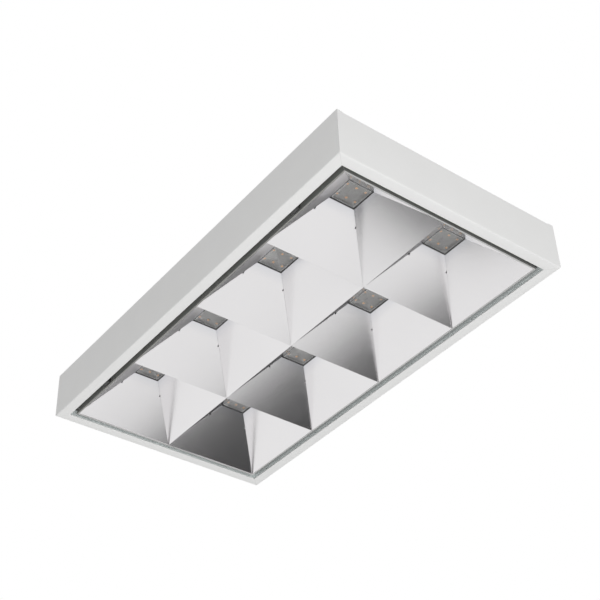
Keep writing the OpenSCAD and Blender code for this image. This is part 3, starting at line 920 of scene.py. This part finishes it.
def stand_in(piece: bpy.types.Object, node: str) -> None:
    """Puts a piece in a CAD node's place: on its body, and shown instead of it.

    Args:
        piece: The piece.
        node: The CAD node's name.
    """
    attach(piece, body_of(node))
    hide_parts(node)


def welded(node: str) -> tuple[np.ndarray, np.ndarray]:
    """Joins the loose triangles of a CAD node.

    Vertices that round to the same place become one, and a triangle that loses a corner by it is
    left out.

    Args:
        node: The CAD node's name.

    Returns:
        The vertices, and one row of three vertex numbers per triangle.
    """
    mesh = frame["nodes"][node].data
    points = vertices_of(node)
    corners = np.empty(len(mesh.loops), np.int32)
    mesh.loops.foreach_get("vertex_index", corners)
    places = np.round(points / WELD).astype(np.int64)
    _, first, back = np.unique(places, axis=0, return_index=True, return_inverse=True)
    faces = back.ravel()[corners].reshape(-1, 3)
    whole = np.all(faces != np.roll(faces, 1, axis=1), axis=1)
    return points[first], faces[whole]


def rounded_copy(node: str, look: Look, width: float, crease: float) -> bpy.types.Object:
    """Stands a copy with rounded edges in for a CAD node.

    Args:
        node: The CAD node's name.
        look: Its finish.
        width: Width of the rounding.
        crease: Edges sharper than this many degrees are rounded.

    Returns:
        The new piece.
    """
    points, faces = welded(node)
    LOG.debug("%s: %d points", node, len(points))
    piece = make_mesh(node + "_dressed", points, [faces])
    finish_piece(piece, look, crease)
    bevel = piece.modifiers.new("rounding", "BEVEL")
    bevel.width = width
    bevel.segments = 2
    bevel.limit_method = "ANGLE"
    bevel.angle_limit = math.radians(crease)
    bevel.harden_normals = True
    stand_in(piece, node)
    return piece


@dataclass
class SubAssembly:
    """A group of CAD nodes with one way of dressing.

    Attributes:
        finishes: The finish of each node.
        rounding: Width of the rounded edges in metres.
        crease: Edges sharper than this many degrees are rounded.
    """

    finishes: dict[str, Look]
    rounding: float = 0.15 * MM
    crease: float = 25.0

    def dress(self) -> list[str]:
        """Dresses every node.

        Returns:
            The names of the pieces.
        """
        return [rounded_copy(n, look, self.rounding, self.crease).name
                for n, look in self.finishes.items()]


@dataclass
class Housing(SubAssembly):
    """The folded rails, the top plate, the trims and the brackets."""

    finishes: dict[str, Look] = field(default_factory=lambda: {
        "top_plate": Look.PLATE_COAT,
        **{n: Look.COAT for n in ("left_rail", "right_rail", "front_rail", "back_rail")},
        **{n: Look.TRIM for n in ("left_trim", "right_trim", "front_trim", "back_trim")},
        **{n: Look.ZINC for n in (
            "corner_brackets", "catch_bracket_front", "catch_bracket_back")},
        **{n: Look.DARK_ZINC for n in ("hinge_bracket_front", "hinge_bracket_back", "hinge_pins")},
        **{n: Look.NICKEL for n in ("catch_magnet_front", "catch_magnet_back")},
    })
    rounding: float = 0.12 * MM


@dataclass
class Screws:
    """Pan-head screws with a cross recess, in place of the plain CAD heads.

    Attributes:
        node: The CAD node that holds the screws as separate solids.
        radius: Radius of a head.
        rise: Height of a head.
        dome: Height from the middle of a head to its edge.
        recess: Half width of the cross.
        wall: Width of the sloping wall of the cross.
        reach: Length of an arm of the cross.
        run_out: Length over which an arm of the cross ends.
        depth: Depth of the cross.
        around: Points round a head.
        rings: Rings from a head's edge to its middle.
    """

    node: str
    radius: float = 2.8 * MM
    rise: float = 1.6 * MM
    dome: float = 0.88 * MM
    recess: float = 0.42 * MM
    wall: float = 0.12 * MM
    reach: float = 1.75 * MM
    run_out: float = 0.5 * MM
    depth: float = 0.9 * MM
    around: int = 48
    rings: int = 14

    def places(self) -> np.ndarray:
        """Finds the middle of each head's lower face from the CAD solids.

        The lowest vertices are sorted into squares four radii wide. Those round a square's middle
        are one head's, and a head found from two squares counts once.

        Returns:
            One row of X, Y and Z per screw.
        """
        low = lowest_of(self.node)
        side = self.radius * 4.0
        room = self.radius * 2.6
        squares = np.unique(np.round(low[:, :2] / side).astype(int), axis=0)
        found = []
        for square in squares:
            near = low[np.all(np.abs(low[:, :2] - square * side) < room, axis=1)]
            middle = (near.max(0) + near.min(0)) / 2.0
            if not any(np.linalg.norm(middle - f) < self.radius for f in found):
                found.append(middle)
        return np.array(found)

    def head(self) -> Solid:
        """Works out one head, with its lowest point at height 0.

        The height above that point is dome times (r / radius) to the third. The cross is sunk
        into it by its depth where |x| or |y| is under the recess and r is under the reach.

        Returns:
            The head as a closed solid.
        """
        rings = [ring(circle(self.radius, self.around), self.rise)]
        for share in np.linspace(1.0, 0.0, self.rings, endpoint=False):
            flat = circle(self.radius * share, self.around)
            across = np.abs(flat).min(axis=1)
            sides = np.clip((self.recess - across) / self.wall + 0.5, 0.0, 1.0)
            ends = np.clip((self.reach - self.radius * share) / self.run_out, 0.0, 1.0)
            height = self.dome * share ** 3 + sides * ends * self.depth
            rings.append(np.column_stack([flat, height]))
        return Solid.from_rings(np.array(rings)[:, ::-1])

    def make(self) -> str:
        """Makes all the screws of the node as one piece.

        Returns:
            The piece's name.
        """
        places = self.places()
        piece = self.head().at(places).make(self.node + "_heads")
        finish_piece(piece, Look.ZINC, smooth_angle=30.0)
        stand_in(piece, self.node)
        LOG.info("%s: %d heads", self.node, len(places))
        return piece.name


@dataclass
class LightEngine(SubAssembly):
    """The circuit boards, their connectors and the LEDs.

    Attributes:
        led_half: Half of an LED's side.
        led_rise: Height of an LED.
        led_power: Power of the superellipse that an LED's outline is.
        chamfer: Height of the chamfer round an LED's lower face.
        face_share: Size of the lower face beside the outline.
        pool: Radius of the round phosphor.
        mouth_share: Size of the phosphor's mouth in the frame beside its floor.
        floor_share: Size of the hole in that floor, which the phosphor covers.
        sunk: Depth of that floor.
        drop: Rings of the phosphor, each as shares of its radius and of the floor's depth.
        around: Points round an LED.
    """

    finishes: dict[str, Look] = field(default_factory=lambda: {
        "led_board_left": Look.MASK, "led_board_right": Look.MASK,
        "board_connectors": Look.WHITE_MOULDING,
    })
    rounding: float = 0.1 * MM
    led_half: float = 1.5 * MM
    led_rise: float = 0.7 * MM
    led_power: float = 10.0
    chamfer: float = 0.08 * MM
    face_share: float = 0.96
    pool: float = 1.2 * MM
    mouth_share: float = 1.04
    floor_share: float = 0.5
    sunk: float = 0.12 * MM
    drop: tuple[tuple[float, float], ...] = ((0.99, 1.0), (0.97, 0.6), (0.7, 0.25), (0.35, 0.12))
    around: int = 32

    def led_places(self) -> np.ndarray:
        """Finds the middle of each LED's lower face from the corners of the CAD solids.

        A corner is an LED's first one if another corner lies one side further along X and Y.

        Returns:
            One row of X, Y and Z per LED.
        """
        corners = np.unique(np.round(lowest_of("led_chips") / CORNER), axis=0) * CORNER
        half = np.array([self.led_half, self.led_half, 0.0])
        first = [c for c in corners
                 if np.any(np.all(np.abs(corners - (c + 2.0 * half)) < LEVEL, axis=1))]
        return np.array(first) + half

    def make_leds(self) -> list[str]:
        """Makes the LEDs: a soft square frame round a sunk pool of phosphor.

        Returns:
            The names of the two pieces.
        """
        outline = soft_square(self.led_half, self.led_power, self.around)
        pool = circle(self.pool, self.around)
        frame_rings = np.array([
            ring(outline, self.led_rise),
            ring(outline, self.chamfer),
            ring(outline * self.face_share, 0.0),
            ring(pool * self.mouth_share, 0.0),
            ring(pool, self.sunk),
            ring(pool * self.floor_share, self.sunk),
        ])
        drop_rings = np.array([ring(pool * wide, self.sunk * deep) for wide, deep in self.drop])
        places = self.led_places()
        LOG.info("leds: %d", len(places))
        names = []
        for name, rings, look in (("led_frames", frame_rings, Look.LED_FRAME),
                                  ("led_pools", drop_rings, Look.PHOSPHOR)):
            piece = Solid.from_rings(rings[:, ::-1]).at(places).make(name)
            finish_piece(piece, look)
            stand_in(piece, "led_chips")
            names.append(piece.name)
        return names

    def dress(self) -> list[str]:
        """Dresses the nodes and makes the LEDs."""
        return super().dress() + self.make_leds()


@dataclass
class Lenses(SubAssembly):
    """The clear lenses, whose shallow pyramids keep a soft line on every hip."""

    finishes: dict[str, Look] = field(
        default_factory=lambda: {"lens_%d" % n: Look.LENS for n in range(1, 9)})
    rounding: float = 0.35 * MM
    crease: float = 4.0


@dataclass
class ControlGear(SubAssembly):
    """The driver, the terminal block, its buttons, the grommet and the earth stud."""

    finishes: dict[str, Look] = field(default_factory=lambda: {
        "driver_case": Look.CASE, "driver_input_cap": Look.CAP, "driver_output_cap": Look.CAP,
        "terminal_block": Look.WHITE_MOULDING,
        **{n: Look.BUTTON for n in ("live_button", "neutral_button", "earth_button")},
        "cable_grommet": Look.RUBBER, "earth_stud": Look.BRASS, "earth_nut": Look.BRASS,
    })
    rounding: float = 0.2 * MM


@dataclass
class Louvre(SubAssembly):
    """The folded reflector blades with their hinge leaves and keepers."""

    finishes: dict[str, Look] = field(default_factory=lambda: {
        "centre_blade": Look.REFLECTOR,
        **{"cross_blade_%d" % n: Look.REFLECTOR for n in range(1, 7)},
        **{n: Look.REFLECTOR for n in ("right_side_blade", "front_end_blade", "back_end_blade")},
        "left_side_blade": Look.HINGE_SIDE,
        **{n: Look.DARK_ZINC for n in ("hinge_leaf_front", "hinge_leaf_back", "louvre_rivets")},
        **{n: Look.ZINC for n in ("keeper_front", "keeper_back")},
    })
    rounding: float = 0.14 * MM


@dataclass(frozen=True)
class Lamp:
    """A soft square lamp, which metal doesn't reflect.

    Attributes:
        name: The lamp's name.
        place: Where it stands.
        side: Its side in metres.
        power: Its power in watts.
        aim: The point it shines at.
    """

    name: str
    place: Triple
    side: float
    power: float
    aim: Triple = (0.0, 0.0, -0.03)

    def build(self) -> None:
        """Makes the lamp and turns it to its aim."""
        data = bpy.data.lights.new(self.name, "AREA")
        data.shape = "SQUARE"
        data.size = self.side
        data.energy = self.power
        lamp = bpy.data.objects.new(self.name, data)
        lamp.location = self.place
        way = Vector(self.aim) - Vector(self.place)
        lamp.rotation_euler = way.to_track_quat("-Z", "Y").to_euler()
        lamp.visible_glossy = False
        lamp.visible_camera = False
        bpy.context.scene.collection.objects.link(lamp)


@dataclass
class Studio:
    """The camera, the floor, the world and the lamps.

    Attributes:
        eye: The camera's place, that of the photograph.
        turn: The camera's rotation in radians.
        lens: The focal length in millimetres.
        sensor: The sensor's width in millimetres.
        seen: The nearest and the furthest distance that the camera sees.
        floor_half: Half of the floor's side.
        floor_drop: Height of the floor, less than 0 for below the ceiling face.
        fill: Strength of the world's even light.
        gleam: Brightness of the surroundings in satin metal and clear plastic.
        lamps: The lamps.
        cards: Corners of each dark card that the satin sheet reflects, beside the object.
        card_drop: Height of the cards, less than 0 for below the ceiling face.
    """

    eye: Triple = (-0.77941, -1.00595, -0.98604)
    turn: Triple = (2.234781, 0.029228, -0.646506)
    lens: float = 76.7153
    sensor: float = 36.0
    seen: tuple[float, float] = (0.02, 100.0)
    floor_half: float = 14.0
    floor_drop: float = -4.0
    fill: float = 0.48
    gleam: float = 0.9
    lamps: tuple[Lamp, ...] = (
        Lamp("front_lamp", (0.1, -1.9, -0.9), 1.2, 10.0),
        Lamp("key_lamp", (-0.9, -1.1, -1.5), 0.8, 10.0),
        Lamp("under_lamp", (0.0, 0.7, -1.5), 1.2, 4.2),
        Lamp("top_lamp", (0.5, 0.7, 1.7), 1.6, 14.0),
    )
    cards: tuple[tuple[tuple[float, float], ...], ...] = (
        ((0.36, -0.3), (1.96, -2.3), (5.0, -2.3), (5.0, -0.3)),
        ((-3.4, 2.2), (-3.4, 0.2), (-1.9, 0.2), (-1.9, 1.28)),
    )
    card_drop: float = -1.6

    def camera(self) -> None:
        """Makes the camera and looks through it."""
        data = bpy.data.cameras.new("camera")
        data.lens = self.lens
        data.sensor_width = self.sensor
        data.clip_start, data.clip_end = self.seen
        camera = bpy.data.objects.new("camera", data)
        camera.location = self.eye
        camera.rotation_euler = self.turn
        bpy.context.scene.collection.objects.link(camera)
        bpy.context.scene.camera = camera

    def floor(self) -> None:
        """Makes the pale floor, which metal and lenses don't reflect."""
        corners = np.array([[-1.0, -1.0], [1.0, -1.0], [1.0, 1.0], [-1.0, 1.0]]) * self.floor_half
        plane = make_mesh("floor", ring(corners, self.floor_drop), [np.arange(4)[None]])
        plane.data.materials.append(Look.FLOOR.value.build())
        plane.visible_glossy = False
        plane.visible_transmission = False

    def world(self) -> None:
        """Makes the surroundings.

        The camera sees white. Other rays see an even light, and glossy ones a brighter one.
        """
        world = bpy.data.worlds.new("studio")
        bpy.context.scene.world = world
        world.use_nodes = True
        g = Graph(world.node_tree)
        path = g.add("ShaderNodeLightPath", output="Is Camera Ray")
        glossy = Wire(g, path.socket.node.outputs["Is Glossy Ray"])
        seen = g.mix(glossy, (self.fill,) * 3, (self.gleam,) * 3)
        colour = g.mix(path, seen, (1.0, 1.0, 1.0))
        back = g.add("ShaderNodeBackground", {"Color": colour, "Strength": 1.0})
        g.add("ShaderNodeOutputWorld", {"Surface": back})

    def dark_cards(self) -> None:
        """Makes the dark cards, which only metal reflects."""
        for number, corners in enumerate(self.cards, 1):
            points = ring(np.array(corners), self.card_drop)
            plane = make_mesh("dark_card_%d" % number, points, [np.arange(len(points))[None]])
            plane.data.materials.append(Look.CARD.value.build())
            plane.visible_camera = False
            plane.visible_diffuse = False
            plane.visible_transmission = False
            plane.visible_shadow = False

    def build(self) -> None:
        """Builds the studio and sets the plain view transform."""
        self.camera()
        self.floor()
        self.dark_cards()
        self.world()
        for lamp in self.lamps:
            lamp.build()
        bpy.context.scene.view_settings.view_transform = "Standard"


def main() -> None:
    """Builds the studio and every sub-assembly, and reports each piece."""
    logging.basicConfig(level=logging.INFO, format="%(name)s: %(message)s")
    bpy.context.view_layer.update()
    Studio().build()
    for part in (Housing(), LightEngine(), Lenses(), ControlGear(), Louvre()):
        for name in part.dress():
            LOG.info("%s: %s", type(part).__name__, name)
    for node in ("plate_screws", "board_screws", "driver_screws"):
        LOG.info("Screws: %s", Screws(node).make())


if __name__ == "__main__":
    main()
